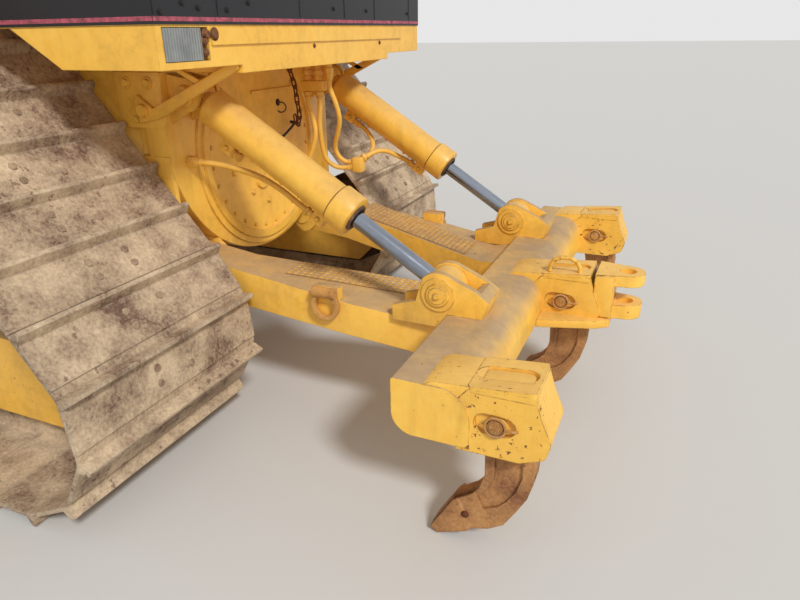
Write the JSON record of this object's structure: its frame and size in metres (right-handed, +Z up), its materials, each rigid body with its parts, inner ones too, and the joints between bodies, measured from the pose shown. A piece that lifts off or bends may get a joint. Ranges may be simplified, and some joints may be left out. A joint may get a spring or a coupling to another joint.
{
  "type": "bulldozer",
  "caption": "Crawler bulldozer with raised drive sprockets, wide shoes, cab, straight blade and a rear ripper with shanks in a box beam.",
  "frame": {"origin": "on the ground under the middle of the machine's length and width", "axes": "+X forward, towards the blade; +Y to the machine's left; +Z up"},
  "size_m": [6.458, 3.996, 3.137],
  "materials": {
    "yellow_paint": "semi-gloss paint, dusty",
    "dark_band": "flat dark paint",
    "engine_iron": "oily paint over iron",
    "track_steel": "worn steel with rust and dust",
    "rusty_steel": "rusty steel",
    "chrome_rod": "polished",
    "window_glass": "clear",
    "chair_fabric": "woven",
    "console_plastic": "grained",
    "lamp_body": "ribbed"
  },
  "bodies": {
    "machine": {"rear_case": "yellow_paint", "cylinder_ears": "yellow_paint", "rear_sill": "yellow_paint", "sill_braces": "yellow_paint", "fuel_tank": "yellow_paint", "tank_band": "dark_band", "main_frame": "yellow_paint", "transmission_case": "engine_iron", "engine_block": "engine_iron", "cab_tub": "yellow_paint", "cab_end_walls": "yellow_paint", "cab_side_walls": "yellow_paint", "cab_ceiling": "yellow_paint", "cab_glass": "window_glass", "rollover_frame": "yellow_paint", "operator_chair": "chair_fabric", "control_consoles": "console_plastic", "fenders": "yellow_paint", "engine_hood": "yellow_paint", "radiator_guard": "yellow_paint", "radiator_grille": "dark_band", "hood_stacks": "dark_band", "work_lamps": "lamp_body", "lift_yokes": "yellow_paint", "cross_shafts": "yellow_paint", "track_left": "track_steel", "track_right": "track_steel", "track_frame_left": "yellow_paint", "track_frame_right": "yellow_paint", "rollers_left": "track_steel", "rollers_right": "track_steel", "final_drive_left": "yellow_paint", "final_drive_right": "yellow_paint", "hose_manifold": "yellow_paint"},
    "ripper": {"ripper_frame": "yellow_paint", "shanks": "rusty_steel", "shank_pins": "rusty_steel", "hitch_jaws": "yellow_paint", "tow_rings": "rusty_steel"},
    "blade_assembly": {"blade": "yellow_paint", "cutting_edge": "rusty_steel", "push_arms": "yellow_paint"},
    "ripper_barrel_left": {"ripper_barrel_left": "yellow_paint"},
    "ripper_rod_left": {"ripper_rod_left": "chrome_rod"},
    "lift_barrel_left": {"lift_barrel_left": "yellow_paint"},
    "lift_rod_left": {"lift_rod_left": "chrome_rod"},
    "door_left": {"door_left": "yellow_paint", "door_glass_left": "window_glass"},
    "ripper_barrel_right": {"ripper_barrel_right": "yellow_paint"},
    "ripper_rod_right": {"ripper_rod_right": "chrome_rod"},
    "lift_barrel_right": {"lift_barrel_right": "yellow_paint"},
    "lift_rod_right": {"lift_rod_right": "chrome_rod"},
    "door_right": {"door_right": "yellow_paint", "door_glass_right": "window_glass"}
  },
  "joints": [
    {"name": "ripper_lift", "type": "hinge", "parent": "machine", "child": "ripper", "pos_m": [-1.359, 0, 0.612], "axis": [0, 1, 0], "range_deg": [-18, 20]},
    {"name": "blade_lift", "type": "hinge", "parent": "machine", "child": "blade_assembly", "pos_m": [0.141, 0, 0.357], "axis": [0, -1, 0], "range_deg": [-8, 16]},
    {"name": "ripper_barrel_swing_left", "type": "hinge", "parent": "machine", "child": "ripper_barrel_left", "pos_m": [-1.494, 0.525, 1.351], "axis": [0, 1, 0], "range_deg": [-16, 17]},
    {"name": "ripper_rod_slide_left", "type": "slide", "parent": "ripper_barrel_left", "child": "ripper_rod_left", "axis": [-0.8432, 0, -0.5376], "range_m": [-0.27, 0.25]},
    {"name": "lift_barrel_swing_left", "type": "hinge", "parent": "machine", "child": "lift_barrel_left", "pos_m": [2.121, 0.612, 1.737], "axis": [0, -1, 0], "range_deg": [-9, 16]},
    {"name": "lift_rod_slide_left", "type": "slide", "parent": "lift_barrel_left", "child": "lift_rod_left", "axis": [0.4688, 0, -0.8833], "range_m": [-0.7, 0.36]},
    {"name": "door_hinge_left", "type": "hinge", "parent": "machine", "child": "door_left", "pos_m": [-0.385, 0.774, 2.357], "axis": [0, 0, 1], "range_deg": [0, 105]},
    {"name": "ripper_barrel_swing_right", "type": "hinge", "parent": "machine", "child": "ripper_barrel_right", "pos_m": [-1.494, -0.525, 1.351], "axis": [0, 1, 0], "range_deg": [-16, 17]},
    {"name": "ripper_rod_slide_right", "type": "slide", "parent": "ripper_barrel_right", "child": "ripper_rod_right", "axis": [-0.8432, 0, -0.5376], "range_m": [-0.27, 0.25]},
    {"name": "lift_barrel_swing_right", "type": "hinge", "parent": "machine", "child": "lift_barrel_right", "pos_m": [2.121, -0.612, 1.737], "axis": [0, -1, 0], "range_deg": [-9, 16]},
    {"name": "lift_rod_slide_right", "type": "slide", "parent": "lift_barrel_right", "child": "lift_rod_right", "axis": [0.4688, 0, -0.8833], "range_m": [-0.7, 0.36]},
    {"name": "door_hinge_right", "type": "hinge", "parent": "machine", "child": "door_right", "pos_m": [-0.385, -0.774, 2.357], "axis": [0, 0, -1], "range_deg": [0, 105]}
  ],
  "couplings": [
    {"joint": "ripper_barrel_swing_left", "follows": "ripper_lift", "ratio": 0.778},
    {"joint": "ripper_rod_slide_left", "follows": "ripper_lift", "m_per_rad": -0.698},
    {"joint": "lift_barrel_swing_left", "follows": "blade_lift", "ratio": 0.892},
    {"joint": "lift_rod_slide_left", "follows": "blade_lift", "m_per_rad": -2.402},
    {"joint": "ripper_barrel_swing_right", "follows": "ripper_lift", "ratio": 0.778},
    {"joint": "ripper_rod_slide_right", "follows": "ripper_lift", "m_per_rad": -0.698},
    {"joint": "lift_barrel_swing_right", "follows": "blade_lift", "ratio": 0.892},
    {"joint": "lift_rod_slide_right", "follows": "blade_lift", "m_per_rad": -2.402}
  ]
}
